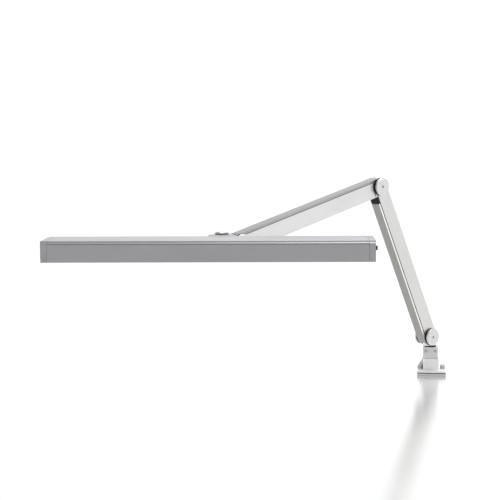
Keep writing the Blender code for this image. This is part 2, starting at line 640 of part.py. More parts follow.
def make_head(head):
    inside = HEAD_LENGTH / 2 - END_CAP
    rear, low = HEAD_REAR, HEAD_TOP - HEAD_HEIGHT
    middle_y, middle_z = rear - HEAD_DEPTH / 2, HEAD_TOP - HEAD_HEIGHT / 2
    piece("head_housing", outline_mesh([head_section()], inside - GAP), "head_aluminium", head,
          (HEAD_X, 0, 0), SECTION)

    screws = [(middle_y - 0.030, middle_z + 0.0130), (middle_y + 0.030, middle_z - 0.0100)]
    for side, sx, turn in (("left", -1, TO_LEFT), ("right", 1, TO_RIGHT)):
        edge = head_front() + [(rear - 0.0010, low), (rear, low + 0.0010)] + head_back_edge()
        holes = [hole(centre, 0.0033) for centre in screws]
        if side == "right":
            holes.append(hole(BUTTON, COLLAR_NECK + GAP))
        piece("end_cap_" + side, outline_mesh([edge, *holes], END_CAP / 2), "head_aluminium", head,
              (HEAD_X + sx * (inside + END_CAP / 2), 0, 0), SECTION)
        for number, (y, z) in enumerate(screws, 1):
            profile = [(0, -0.0012), (0.0014, -0.0012), (0.0014, -0.0002), (0.0026, -0.0002),
                       (0.0030, -0.0008), (0.0030, -0.0030), (0.0017, -0.0036),
                       (0.0017, -0.0112), (0, -0.0112)]
            piece(f"end_screw_{side}_{number}", turned_mesh(profile, steps=12), "steel", head,
                  (HEAD_X + sx * (inside + END_CAP), y, z), turn)
    make_light(head, inside, middle_y, low)
    make_clamp(head)

    radius, bore = 0.0064, BUTTON_RADIUS + 0.0004
    collar = [(radius, 0.0022), (radius, GAP), (COLLAR_NECK, GAP), (COLLAR_NECK, -0.0100),
              (bore, -0.0100), (bore, 0.0022)]
    piece("button_collar", turned_mesh(collar, ring=True, steps=COARSE), "black_plastic", head,
          (HEAD_X + HEAD_LENGTH / 2, *BUTTON), TO_RIGHT)


def make_light(head, inside, middle_y, low):
    """What the head holds: the diffuser, the board above it, and the driver above the board."""
    reach = HEAD_DEPTH / 2 - WALL - 0.0006
    diffuser = box_mesh((0.001 - inside, middle_y - reach, low + 0.0015),
                        (inside - 0.001, middle_y + reach, low + 0.0042))
    piece("diffuser", diffuser, "opal", head, (HEAD_X, 0, 0))
    board_half, board_low = 0.034, low + 0.0125
    board = box_mesh((0.004 - inside, middle_y - board_half, board_low),
                     (inside - 0.004, middle_y + board_half, board_low + 0.0016))
    piece("led_board", board, "board", head, (HEAD_X, 0, 0))
    driver_half, driver_length, driver_x = 0.026, 0.300, -0.080
    driver = box_mesh((-driver_length / 2, middle_y - driver_half, low + 0.0160),
                      (driver_length / 2, middle_y + driver_half, low + 0.0370))
    driver = piece("led_driver", driver, "driver_case", head, (HEAD_X + driver_x, 0, 0))
    bevelled(driver, 0.0015)


def make_clamp(head):
    """The clamp whose foot fills the T-slot and whose round nose turns on the tilt screw."""
    mouth, inside = RAIL[0] - GAP, RAIL[1] - GAP
    lip = HEAD_REAR - RAIL_DEPTH[0] - GAP
    foot = HEAD_REAR - RAIL_DEPTH[1] + GAP
    face = HEAD_REAR + GAP
    nose = 0.0080
    clamp = [(foot, inside), (foot, -inside), (lip, -inside), (lip, -mouth), (face, -mouth), (face, -nose)]
    clamp += arc((0, 0), CLAMP_RADIUS, 242, 478, FINE)
    clamp += [(face, nose), (face, mouth), (lip, mouth), (lip, inside)]
    piece("rail_clamp", outline_mesh([clamp, hole((0, 0), TILT_SCREW + RUN)], CLAMP_HALF),
          "cast_aluminium", head, rotation=SECTION)


def make_button(head):
    end, inside = 0.0052, -0.0080
    profile = [(0, end), (BUTTON_RADIUS - 0.0009, end), (BUTTON_RADIUS, end - 0.0009),
               (BUTTON_RADIUS, inside), (0, inside)]
    axis = frame("button_axis", head, (HEAD_X + HEAD_LENGTH / 2, *BUTTON))
    piece("dimmer_button", turned_mesh(profile, steps=COARSE), "black_plastic", axis,
          rotation=TO_RIGHT)


# ---- the object ---------------------------------------------------------------------------
clear_scene()
PARTS = collection("bench_work_light")
CUTTERS = collection("cutters")
CUTTERS.hide_render = True
MATERIALS = make_materials()


def main():
    turret = frame("turret_axis", rotation=(0, 0, ARM_AZIMUTH))
    shoulder = frame("shoulder_axis", turret, (SHOULDER[0], 0, SHOULDER[1]),
                     (0, LOWER_LEAN - math.pi / 2, 0))
    elbow = frame("elbow_axis", shoulder, (LOWER_LENGTH, 0, 0))
    upper = frame("upper_arm_axis", elbow, rotation=(0, UPPER_DROP + math.pi / 2 - LOWER_LEAN, 0))
    wrist_end = frame("wrist_axis", upper, (UPPER_LENGTH, 0, 0))
    wrist = frame("wrist_block_axis", wrist_end, rotation=(0, -UPPER_DROP, 0))
    bracket = frame("head_swivel_axis", wrist, (HEAD_SWIVEL, 0, 0), (0, 0, -ARM_AZIMUTH))
    head = frame("head_tilt_axis", bracket, (0, *TILT))
    make_base(frame("base_axis", rotation=(0, 0, BASE_TURN)))
    make_turret(turret)
    make_lower_arm(shoulder, elbow)
    make_upper_arm(upper, wrist_end)
    make_wrist(wrist)
    make_bracket(bracket)
    make_head(head)
    make_button(head)


main()
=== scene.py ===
"""Looks of the bench work light: materials, fine pieces, studio and camera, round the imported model.

Metres, +Z up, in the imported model's frame. Every place is worked out from the record's joints and
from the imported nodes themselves, so the pieces follow the model.
"""

import json
import math

import bmesh
import bpy
from mathutils import Matrix, Vector

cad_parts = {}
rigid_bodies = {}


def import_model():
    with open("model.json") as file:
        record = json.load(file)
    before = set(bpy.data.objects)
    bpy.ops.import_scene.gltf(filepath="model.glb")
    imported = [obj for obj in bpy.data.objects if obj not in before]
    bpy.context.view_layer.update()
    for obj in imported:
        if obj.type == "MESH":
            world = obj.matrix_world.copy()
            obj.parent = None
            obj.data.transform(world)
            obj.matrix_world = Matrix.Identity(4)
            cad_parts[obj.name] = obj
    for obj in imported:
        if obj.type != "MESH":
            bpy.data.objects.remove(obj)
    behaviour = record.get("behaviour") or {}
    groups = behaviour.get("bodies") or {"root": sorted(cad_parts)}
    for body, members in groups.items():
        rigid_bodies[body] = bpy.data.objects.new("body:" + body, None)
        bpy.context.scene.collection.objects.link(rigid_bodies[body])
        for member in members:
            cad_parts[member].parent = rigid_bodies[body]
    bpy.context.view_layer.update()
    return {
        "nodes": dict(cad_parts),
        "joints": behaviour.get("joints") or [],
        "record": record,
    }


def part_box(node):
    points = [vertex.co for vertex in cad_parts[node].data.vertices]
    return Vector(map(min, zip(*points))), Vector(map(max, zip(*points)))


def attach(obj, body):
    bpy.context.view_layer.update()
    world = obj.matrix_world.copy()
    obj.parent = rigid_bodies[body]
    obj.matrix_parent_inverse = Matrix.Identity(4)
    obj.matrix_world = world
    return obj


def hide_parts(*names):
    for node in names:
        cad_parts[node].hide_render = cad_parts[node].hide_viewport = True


for startup_object in list(bpy.data.objects):
    bpy.data.objects.remove(startup_object)
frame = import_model()

NODES = frame["nodes"]
JOINTS = {joint["name"]: joint for joint in frame["joints"]}
BODIES = frame["record"]["behaviour"]["bodies"]
BODY_OF = {node: body for body, nodes in BODIES.items() for node in nodes}

# ---- directions and pivots, from the record ---------------------------------------------------
SHOULDER = Vector(JOINTS["shoulder_tilt"]["pos_m"])
ELBOW = Vector(JOINTS["elbow_fold"]["pos_m"])
WRIST = Vector(JOINTS["wrist_tilt"]["pos_m"])
SWIVEL = Vector(JOINTS["head_swivel"]["pos_m"])
TILT = Vector(JOINTS["head_tilt"]["pos_m"])
UP = Vector((0, 0, 1))
RIGHT = Vector((1, 0, 0))
PIVOT_AXIS = Vector(JOINTS["shoulder_tilt"]["axis"])
NEAR = -PIVOT_AXIS if PIVOT_AXIS.y > 0 else PIVOT_AXIS
FAR = -NEAR
ORIGIN = Vector((0, 0, 0))
MM = 0.001

# ---- camera: the place, direction and lens that the view was taken with ------------------------
CAMERA_PLACE = (-0.3552, -2.8649, 0.6066)
CAMERA_YAW = math.radians(-1.67)
CAMERA_PITCH = math.radians(-6.05)
CAMERA_ROLL = math.radians(-0.34)
CAMERA_LENS = 85.49

FINE = 96                # steps round a large turned piece
SMALL = 48               # steps round a screw
FLANGE_HEAD = 9.5 * MM   # height of the flange screws' heads
GLAND_LENGTH = 12 * MM   # what stands out of the sleeve
TILT_HEAD = 4.5 * MM     # height of the tilt screw's head
SMALL_SHANK = 1.4 * MM   # radius of the small domed screws
SMALL_SOCKET = 2.0 * MM  # their socket, across flats

SMOOTH_ANGLE = 32        # degrees: bends sharper than this stay sharp
BEVEL_ANGLE = 38         # degrees: bends sharper than this are rounded
FLAT_ANGLE = 0.5         # degrees: faces this near to one plane are joined
WELD = 0.005 * MM        # corners this near are one

# ---- studio: strength of the room's light, its rise along each axis, and the plain background ---
ROOM_LEVEL = 1.0
ROOM_SLOPE = (0.06, 0.20, -0.30)
BACKGROUND_WHITE = 1.1
FLOOR_HALF = 9           # metres from the middle to an edge
FLOOR_DROP = 0.3 * MM    # below the base's underside


def basis(x_axis, z_axis):
    """The rotation whose X runs along x_axis and whose Z is as near z_axis as it can be."""
    x = Vector(x_axis).normalized()
    y = Vector(z_axis).cross(x).normalized()
    return Matrix((x, y, x.cross(y))).transposed()


LOWER_BASIS = basis(ELBOW - SHOULDER, NEAR)
UPPER_BASIS = basis(WRIST - ELBOW, NEAR)
WORLD_BASIS = Matrix.Identity(3)


# ---- shader building --------------------------------------------------------------------------
class Look:
    """One material: a Principled shader, and short ways to add the nodes that drive it."""

    def __init__(self, name, colour, metallic, roughness):
        self.material = bpy.data.materials.new(name)
        self.material.use_nodes = True
        self.tree = self.material.node_tree
        self.shader = self.tree.nodes["Principled BSDF"]
        self.colour = colour
        self.roughness = roughness
        self.shader.inputs["Base Color"].default_value = (*colour, 1)
        self.shader.inputs["Metallic"].default_value = metallic
        self.shader.inputs["Roughness"].default_value = roughness

    def node(self, kind, inputs=(), **settings):
        """A node with its settings, and its inputs by name or number: a socket is linked, a value is set."""
        made = self.tree.nodes.new("ShaderNode" + kind)
        for name, value in settings.items():
            setattr(made, name, value)
        for key, value in dict(inputs).items():
            if isinstance(value, bpy.types.NodeSocket):
                self.tree.links.new(value, made.inputs[key])
            else:
                made.inputs[key].default_value = value
        return made

    def math(self, operation, first, second=0.0, clamp=False):
        made = self.node("Math", {0: first, 1: second}, operation=operation, use_clamp=clamp)
        return made.outputs[0]

    def coordinates(self, rotation):
        """Object coordinates in metres, turned so that X runs along the grain."""
        source = self.node("TexCoord").outputs["Object"]
        turn = rotation.inverted().to_euler()
        return self.node("Mapping", {"Vector": source, "Rotation": turn}).outputs[0]

    def turned_coordinates(self):
        """Distance from the piece's own Z axis as X, so that marks run round the axis."""
        source = self.node("TexCoord").outputs["Object"]
        flat = self.node("VectorMath", {0: source, 1: (1, 1, 0)}, operation="MULTIPLY").outputs[0]
        radius = self.node("VectorMath", {0: flat}, operation="LENGTH").outputs["Value"]
        height = self.node("SeparateXYZ", {0: source}).outputs["Z"]
        return self.node("CombineXYZ", {"X": radius, "Y": height}).outputs[0]

    def noise(self, vector, scale, detail=3.0, roughness=0.6):
        """Noise with that many features a metre along each axis."""
        stretched = self.node("Mapping", {"Vector": vector, "Scale": scale}).outputs[0]
        inputs = {"Vector": stretched, "Scale": 1.0, "Detail": detail, "Roughness": roughness}
        return self.node("TexNoise", inputs).outputs["Fac"]

    def ranged(self, value, from_low, from_high, to_low, to_high):
        inputs = {0: value, 1: from_low, 2: from_high, 3: to_low, 4: to_high}
        return self.node("MapRange", inputs).outputs[0]

    def mixed(self, factor, first, second):
        inputs = {"Factor": factor, 6: first, 7: second}
        return self.node("Mix", inputs, data_type="RGBA", clamp_factor=True).outputs[2]

    def shade(self, factor):
        """The base colour times a factor, as a colour value."""
        return (*(min(part * factor, 1.0) for part in self.colour), 1)

    def blend(self, mask, low_shade, high_shade, spread=0.15):
        """The base colour between two shades of itself, over the middle part of a noise mask."""
        share = self.ranged(mask, 0.5 - spread, 0.5 + spread, 0.0, 1.0)
        return self.mixed(share, self.shade(low_shade), self.shade(high_shade))

    def roughened(self, mask, less, more):
        """The roughness, from less to more, over the middle part of a noise mask."""
        return self.ranged(mask, 0.3, 0.7, self.roughness - less, self.roughness + more)

    def edges(self, radius, marks):
        """A mask of the edges, used both for rubbed wear and for painted dark shade outlines: where the
        rounded normal leaves the true one, broken up by marks.
        """
        rounded = self.node("Bevel", {"Radius": radius}, samples=4).outputs[0]
        true = self.node("NewGeometry").outputs["Normal"]
        match = self.node("VectorMath", {0: rounded, 1: true}, operation="DOT_PRODUCT").outputs["Value"]
        edge = self.ranged(match, 0.995, 0.86, 0.0, 1.0)
        return self.math("MULTIPLY", edge, self.ranged(marks, 0.40, 0.62, 0.25, 1.0), True)

    def finish(self, colour, roughness, height, bump, distance):
        self.tree.links.new(colour, self.shader.inputs["Base Color"])
        self.tree.links.new(roughness, self.shader.inputs["Roughness"])
        inputs = {"Strength": bump, "Distance": distance, "Height": height}
        normal = self.node("Bump", inputs).outputs[0]
        self.tree.links.new(normal, self.shader.inputs["Normal"])
        return self.material


def extruded_metal(name, colour, roughness, rotation, side_shade=None, edge=0.0006, edge_shade=1.22):
    """Anodised extrusion: die lines along X, cloudy tone, rubbed edges, painted shade in its narrow grooves.

    A low edge_shade paints dark shade outlines on the edges instead of rubbing them bright.
    With side_shade, the faces that look along the pivots are painted that much brighter or darker, as
    painted light and shade.
    """
    look = Look(name, colour, 1.0, roughness)
    place = look.coordinates(rotation)
    lines = look.noise(place, (9, 1300, 1300))
    hair = look.noise(place, (60, 6000, 6000), 2.0)
    cloud = look.noise(place, (7, 26, 26), 4.0)
    tone = look.math("ADD", look.math("MULTIPLY", lines, 0.45), look.math("MULTIPLY", cloud, 0.55))
    plain = look.blend(tone, 0.955, 1.04, 0.14)
    edge_wear_and_shade = look.edges(edge, cloud)
    # Painted light and shade: faces that look along the pivots get a brighter or darker colour for how the
    # light falls on them.
    if side_shade:
        true = look.node("NewGeometry").outputs["Normal"]
        turn = look.node("VectorTransform", {0: true}, convert_from="WORLD", convert_to="OBJECT")
        facing = look.node("VectorMath", {0: turn.outputs[0], 1: NEAR}, operation="DOT_PRODUCT")
        beside = look.math("ABSOLUTE", facing.outputs["Value"])
        plain = look.mixed(look.ranged(beside, 0.6, 0.8, 0.0, 1.0), plain, look.shade(side_shade))
    # A high edge_shade rubs the edges bright; a low edge_shade paints dark shade outlines on them.
    edge_rubbed_and_shaded = look.mixed(look.math("MULTIPLY", edge_wear_and_shade, 0.7), plain, look.shade(edge_shade))
    # Painted shade: ambient occlusion darkens the narrow grooves almost to black in the colour.
    hollow = look.node("AmbientOcclusion", {"Distance": 0.0025}, samples=6, only_local=True)
    painted_hollow_shade = look.ranged(hollow.outputs["AO"], 0.55, 0.90, 0.0, 1.0)
    colour_out = look.mixed(painted_hollow_shade, look.shade(0.06), edge_rubbed_and_shaded)
    rough = look.roughened(lines, 0.05, 0.06)
    rough = look.math("SUBTRACT", rough, look.math("MULTIPLY", edge_wear_and_shade, 0.08))
    return look.finish(colour_out, rough, hair, 0.22, 0.00005)


def cast_metal(name, colour, roughness, metallic=1.0):
    """Bead-blasted or painted casting: an even fine grain, with painted shade in its hollows."""
    look = Look(name, colour, metallic, roughness)
    place = look.coordinates(WORLD_BASIS)
    grain = look.noise(place, (1500, 1500, 1500), 4.0, 0.7)
    cloud = look.noise(place, (45, 45, 45), 4.0)
    plain = look.blend(cloud, 0.94, 1.05)
    edge_wear_and_shade = look.edges(0.0005, cloud)
    # Painted shade: ambient occlusion darkens the hollows in the colour.
    hollow = look.node("AmbientOcclusion", {"Distance": 0.004}, samples=4, only_local=True)
    painted_hollow_shade = look.ranged(hollow.outputs["AO"], 0.35, 0.95, 0.72, 1.0)
    coloured = look.mixed(look.math("MULTIPLY", edge_wear_and_shade, 0.5), plain, look.shade(1.18))
    dimmed = look.mixed(painted_hollow_shade, look.shade(0.45), coloured)
    rough = look.roughened(grain, 0.06, 0.07)
    return look.finish(dimmed, rough, grain, 0.30, 0.00008)


def turned_metal(name, colour, roughness, rings=2400, edge=0.0004, edge_shade=1.2):
    """Faced on a lathe: fine rings round the piece's own axis; a high edge_shade rubs its edges bright, a
    low one paints dark shade outlines on them.
    """
    look = Look(name, colour, 1.0, roughness)
    place = look.turned_coordinates()
    groove = look.noise(place, (rings, rings, 1), 2.0)
    band = look.noise(place, (240, 240, 1), 2.0)
    cloud = look.noise(look.coordinates(WORLD_BASIS), (60, 60, 60), 4.0)
    tone = look.math("ADD", look.math("MULTIPLY", band, 0.6), look.math("MULTIPLY", cloud, 0.4))
    plain = look.blend(tone, 0.94, 1.05)
    edge_wear_and_shade = look.edges(edge, cloud)
    # A low edge_shade paints dark shade outlines on the edges.
    colour_out = look.mixed(look.math("MULTIPLY", edge_wear_and_shade, 0.6), plain, look.shade(edge_shade))
    rough = look.roughened(groove, 0.05, 0.07)
    return look.finish(colour_out, rough, groove, 0.20, 0.00003)


def moulded(name, colour, roughness, grain=2600, bump=0.35, worn_shade=2.6, gloss=0.5):
    """Moulded plastic or rubber: spark-eroded grain, edges polished by handling."""
    look = Look(name, colour, 0.0, roughness)
    look.shader.inputs["Specular IOR Level"].default_value = gloss
    place = look.coordinates(WORLD_BASIS)
    fine = look.noise(place, (grain, grain, grain), 3.0, 0.7)
    cloud = look.noise(place, (70, 70, 70), 4.0)
    plain = look.blend(cloud, 0.85, 1.2)
    edge_wear_and_shade = look.edges(0.0004, cloud)
    colour_out = look.mixed(look.math("MULTIPLY", edge_wear_and_shade, 0.5), plain, look.shade(worn_shade))
    rough = look.roughened(fine, 0.07, 0.08)
    return look.finish(colour_out, rough, fine, bump, 0.00006)


def opal(name):
    """Frosted acrylic: lets some light through, with a faint even haze."""
    look = Look(name, (0.90, 0.90, 0.88), 0.0, 0.38)
    look.shader.inputs["IOR"].default_value = 1.49
    look.shader.inputs["Transmission Weight"].default_value = 0.30
    place = look.coordinates(WORLD_BASIS)
    haze = look.noise(place, (900, 900, 900), 3.0)
    cloud = look.noise(place, (12, 60, 60), 3.0)
    colour = look.blend(cloud, 0.96, 1.04)
    rough = look.roughened(haze, 0.05, 0.07)
    return look.finish(colour, rough, haze, 0.12, 0.00004)


def make_looks():
    return {
        # Painted light and shade: the lower and upper arms, and the lower and upper covers, are one finish
        # each in different shades and side_shade values for how the light falls on them; the arms'
        # edge_shade of 0.45 paints dark shade outlines on their edges.
        "arm_lower": extruded_metal(
            "arm_aluminium_lower", (0.68, 0.68, 0.675), 0.40, LOWER_BASIS, None, 0.0012, 0.45),
        "arm_upper": extruded_metal(
            "arm_aluminium_upper", (0.71, 0.71, 0.71), 0.40, UPPER_BASIS, None, 0.0012, 0.45),
        "cover_lower": extruded_metal("cover_aluminium_lower", (0.40, 0.395, 0.38), 0.42, LOWER_BASIS, 2.3),
        "cover_upper": extruded_metal("cover_aluminium_upper", (0.35, 0.35, 0.35), 0.42, UPPER_BASIS, 1.15),
        "head": extruded_metal("head_aluminium_long", (0.42, 0.42, 0.44), 0.38, WORLD_BASIS),
        "end_cap": cast_metal("head_aluminium_cap", (0.42, 0.42, 0.44), 0.40),
        "cast": cast_metal("cast_aluminium_fine", (0.89, 0.89, 0.90), 0.44),
        "housing": cast_metal("housing_aluminium", (0.70, 0.70, 0.715), 0.44),
        "plate": cast_metal("plate_aluminium", (0.64, 0.64, 0.65), 0.42),
        "bracket": cast_metal("bracket_aluminium", (0.42, 0.42, 0.42), 0.46),
        "disc": turned_metal("disc_aluminium_faced", (0.69, 0.69, 0.69), 0.34),
        "steel": turned_metal("steel_turned", (0.52, 0.52, 0.53), 0.28),
        # Painted shade: the chrome nut's edge_shade of 0.05 paints dark outlines round its edges.
        "chrome": turned_metal("chrome_polished", (0.84, 0.84, 0.84), 0.13, 900, 0.0007, 0.05),
        "bronze": turned_metal("bronze_bush", (0.45, 0.30, 0.12), 0.40),
        "plastic": moulded("black_plastic_fine", (0.012, 0.012, 0.013), 0.48, gloss=0.2),
        "rubber": moulded("rubber_sheet", (0.032, 0.032, 0.033), 0.85, 1400, 0.5, 1.8, 0.3),
        "board": moulded("board_white", (0.80, 0.80, 0.78), 0.45, 900, 0.15, 1.05),
        "driver": moulded("driver_case_white", (0.72, 0.72, 0.70), 0.50, 1800, 0.3, 1.05),
        "chip": moulded("led_phosphor", (0.86, 0.66, 0.18), 0.35, 3000, 0.1, 1.1),
        "opal": opal("opal_acrylic"),
    }


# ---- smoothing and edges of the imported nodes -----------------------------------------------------
def smooth_group():
    """Geometry nodes: drop imported normals, join split corners, smooth all but the sharp edges."""
    group = bpy.data.node_groups.new("smooth_by_angle", "GeometryNodeTree")
    group.interface.new_socket("Geometry", in_out="INPUT", socket_type="NodeSocketGeometry")
    angle = group.interface.new_socket("Angle", in_out="INPUT", socket_type="NodeSocketFloat")
    angle.default_value = math.radians(SMOOTH_ANGLE)
    group.interface.new_socket("Geometry", in_out="OUTPUT", socket_type="NodeSocketGeometry")
    nodes = group.nodes
    links = group.links
    start = nodes.new("NodeGroupInput")
    end = nodes.new("NodeGroupOutput")
    bare = nodes.new("GeometryNodeRemoveAttribute")
    bare.inputs["Name"].default_value = "custom_normal"
    weld = nodes.new("GeometryNodeMergeByDistance")
    weld.inputs["Distance"].default_value = WELD
    faces = nodes.new("GeometryNodeSetShadeSmooth")
    faces.domain = "FACE"
    bend = nodes.new("GeometryNodeInputMeshEdgeAngle")
    soft = nodes.new("FunctionNodeCompare")
    soft.operation = "LESS_THAN"
    edges = nodes.new("GeometryNodeSetShadeSmooth")
    edges.domain = "EDGE"
    links.new(start.outputs["Geometry"], bare.inputs["Geometry"])
    links.new(bare.outputs["Geometry"], weld.inputs["Geometry"])
    links.new(weld.outputs["Geometry"], faces.inputs["Geometry"])
    links.new(bend.outputs["Unsigned Angle"], soft.inputs["A"])
    links.new(start.outputs["Angle"], soft.inputs["B"])
    links.new(faces.outputs["Geometry"], edges.inputs["Geometry"])
    links.new(soft.outputs["Result"], edges.inputs["Shade Smooth"])
    links.new(edges.outputs["Geometry"], end.inputs["Geometry"])
    return group


SMOOTH = smooth_group()


def smoothed(obj):
    modifier = obj.modifiers.new("Smooth", "NODES")
    modifier.node_group = SMOOTH


def dressed(node, look, bevel=0.0):
    """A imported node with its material, joined corners and, where asked, rounded edges."""
    obj = NODES[node]
    obj.data.materials.clear()
    obj.data.materials.append(LOOKS[look])
    smoothed(obj)
    if bevel:
        flat = obj.modifiers.new("Flat", "DECIMATE")
        flat.decimate_type = "DISSOLVE"
        flat.angle_limit = math.radians(FLAT_ANGLE)
        edge = obj.modifiers.new("Edges", "BEVEL")
        edge.width = bevel
        edge.segments = 2
        edge.limit_method = "ANGLE"
        edge.angle_limit = math.radians(BEVEL_ANGLE)
        edge.miter_outer = "MITER_ARC"
        smoothed(obj)
        weighted = obj.modifiers.new("Weighted", "WEIGHTED_NORMAL")
        weighted.keep_sharp = True
    return obj


# ---- turned pieces ------------------------------------------------------------------------------
def round_form(_angle):
    return 1.0


def hex_form(angle):
    """A hexagon whose corners lie on the ring's radius."""
    sixth = math.pi / 3
    return math.cos(sixth / 2) / math.cos(angle % sixth - sixth / 2)


def ribbed_form(count, depth):
    """Ribs round a ring, which stay inside its radius."""
    return lambda angle: 1 - depth * (0.5 + 0.5 * math.cos(count * angle))


def no_dip(_angle):
    return 0.0


def chamfer_dip(corner, crown):
    """How far a cone-shaped chamfer, which starts at radius crown, has fallen at a hexagon's faces."""
    return lambda angle: max(corner * hex_form(angle) - crown, 0.0) * math.tan(math.radians(32))


def turned(name, rings, place, axis, steps=FINE, closed=False, sharp=SMOOTH_ANGLE):
    """A lathed piece on an axis, from its top ring down its outer side to its last ring.

    A ring is (radius, height), then a form if it isn't round, then a dip if it isn't level.
    Closed joins the last ring to the first, for a piece with a bore. Otherwise both ends are filled.
    """
    made = bmesh.new()
    loops = []
    for radius, height, *extra in rings:
        form = extra[0] if extra else round_form
        dip = extra[1] if len(extra) > 1 else no_dip
        loop = []
        for i in range(steps):
            angle = 2 * math.pi * i / steps
            reach = radius * form(angle)
            point = (reach * math.cos(angle), reach * math.sin(angle), height - dip(angle))
            loop.append(made.verts.new(point))
        loops.append(loop)
    pairs = list(zip(loops, loops[1:], strict=False))
    if closed:
        pairs.append((loops[-1], loops[0]))
    for above, below in pairs:
        for i in range(steps):
            j = (i + 1) % steps
            made.faces.new((above[i], below[i], below[j], above[j]))
    if not closed:
        made.faces.new(loops[0])
        made.faces.new(loops[-1][::-1])
    bmesh.ops.recalc_face_normals(made, faces=made.faces)
    return mesh_object(name, made, place, basis_for(axis), sharp)


def basis_for(axis):
    """A rotation whose Z is the axis, with X level."""
    z = Vector(axis).normalized()
    x = (UP if abs(z.z) < 0.9 else RIGHT).cross(z).normalized()
    return Matrix((x, z.cross(x), z)).transposed()


def mesh_object(name, made, place, rotation, sharp=SMOOTH_ANGLE):
    mesh = bpy.data.meshes.new(name)
    made.to_mesh(mesh)
    made.free()
    mesh.shade_smooth()
    mesh.set_sharp_from_angle(angle=math.radians(sharp))
    obj = bpy.data.objects.new(name, mesh)
    obj.matrix_world = Matrix.LocRotScale(Vector(place), rotation, None)
    bpy.context.scene.collection.objects.link(obj)
    return obj


def stands_for(obj, node, look):
    """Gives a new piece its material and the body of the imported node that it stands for."""
    obj.data.materials.append(LOOKS[look])
    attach(obj, BODY_OF[node])
    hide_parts(node)
    return obj


def extent(node, origin, axis):
    """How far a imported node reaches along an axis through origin, low and high, and round it."""
    low, high, round_it = math.inf, -math.inf, 0.0
    for vert in NODES[node].data.vertices:
        offset = vert.co - origin
        along = offset.dot(axis)
        low = min(low, along)
        high = max(high, along)
        round_it = max(round_it, (offset - axis * along).length)
    return low, high, round_it


def middle(node, axis):
    """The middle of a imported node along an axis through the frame's origin."""
    low, high, _radius = extent(node, ORIGIN, axis)
    return (low + high) / 2


def quarter(radius, height, size, steps=3):
    """Ring points of a rounded outer corner: radius and height are the sharp corner's."""
    angles = [math.radians(90 - 90 * i / steps) for i in range(steps + 1)]
    return [(radius - size + size * math.cos(a), height - size + size * math.sin(a)) for a in angles]


def hex_socket(across, top, depth):
    """Rings of a socket, from its floor up to its chamfered mouth."""
    corner = across / math.sqrt(3)
    return [
        (corner * 0.30, top - depth - 0.3 * MM), (corner, top - depth, hex_form),
        (corner, top - 0.25 * MM, hex_form), (corner + 0.25 * MM, top),
    ]


def pivot_disc(node, origin, axis):
    """A capping disc: socket in the middle, a shallow step and a groove round it, rounded rim."""
    low, high, radius = extent(node, origin, axis)
    top = high - 0.2 * MM
    rings = hex_socket(6.0 * MM, top, 3.0 * MM)
    rings += [(5.0 * MM, top), (5.3 * MM, top + 0.2 * MM), (radius * 0.60, top + 0.2 * MM)]
    rings += [(radius * 0.86, top + 0.15 * MM), (radius * 0.875, top - 0.10 * MM)]
    rings += [(radius * 0.89, top - 0.10 * MM), (radius * 0.905, top + 0.10 * MM)]
    rings += quarter(radius, top + 0.10 * MM, 0.7 * MM)
    rings += [(radius, low + 0.5 * MM), (radius - 0.4 * MM, low + 0.1 * MM), (radius - 0.5 * MM, low)]
    piece = turned(node.replace("disc", "capping_disc"), rings, origin, axis)
    return stands_for(piece, node, "disc")


def pivot_washer(node, origin, axis, bore):
    """A friction washer: rounded edges, and a groove round it where the two halves meet."""
    low, high, radius = extent(node, origin, axis)
    centre = (low + high) / 2
    rings = quarter(radius, high, 0.5 * MM)
    rings += [(radius, centre + 0.35 * MM), (radius - 0.5 * MM, centre + 0.15 * MM)]
    rings += [(radius - 0.5 * MM, centre - 0.15 * MM), (radius, centre - 0.35 * MM)]
    rings += [(radius, low + 0.4 * MM), (radius - 0.4 * MM, low), (bore, low), (bore, high)]
    piece = turned(node.replace("washer", "friction_washer"), rings, origin, axis, closed=True)
    return stands_for(piece, node, "plastic")


def socket_screw(node, origin, axis, shank, across, crown):
    """A knurled screw with a hexagon socket. The origin is on its seat, and crown rounds its top."""
    low, high, radius = extent(node, origin, axis)
    side = ribbed_form(24, 0.045)
    rings = hex_socket(across, high, min(0.55 * radius, 2.6 * MM))
    rings += quarter(radius, high, crown, 4)
    rings += [(radius, high - crown - 0.3 * MM, side), (radius, 0.15 * MM, side)]
    rings += [(radius - 0.15 * MM, 0.0), (shank, 0.0), (shank, low + 0.6 * MM)]
    rings += [(shank - 0.5 * MM, low)]
    piece = turned(node + "_fine", rings, origin, axis, SMALL)
    return stands_for(piece, node, "steel")


LOOKS = make_looks()


# ---- base -----------------------------------------------------------------------------------
def make_base():
    dressed("mount_plate", "plate", 0.6 * MM)
    dressed("base_gasket", "rubber", 0.2 * MM)
    dressed("base_flange", "cast", 0.5 * MM)
    dressed("swivel_housing", "housing", 0.4 * MM)
    dressed("swivel_bush", "bronze")
    screws = [sum(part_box("flange_screw_" + side), ORIGIN) / 2 for side in ("left", "right")]
    right = (screws[1] - screws[0]).normalized()
    back = UP.cross(right)
    front_face = extent("swivel_housing", ORIGIN, -back)[1]
    for side in ("left", "right"):
        node = "flange_screw_" + side
        head = right * middle(node, right) + back * middle(node, back)
        head.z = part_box(node)[1].z - FLANGE_HEAD
        socket_screw(node, head, UP, 2.8 * MM, 5.0 * MM, 2.2 * MM)
        node = "housing_screw_" + side
        head = right * middle(node, right) - back * front_face + UP * middle(node, UP)
        button_screw(node, head, -back, SMALL_SHANK, SMALL_SOCKET)
    make_gland(back)


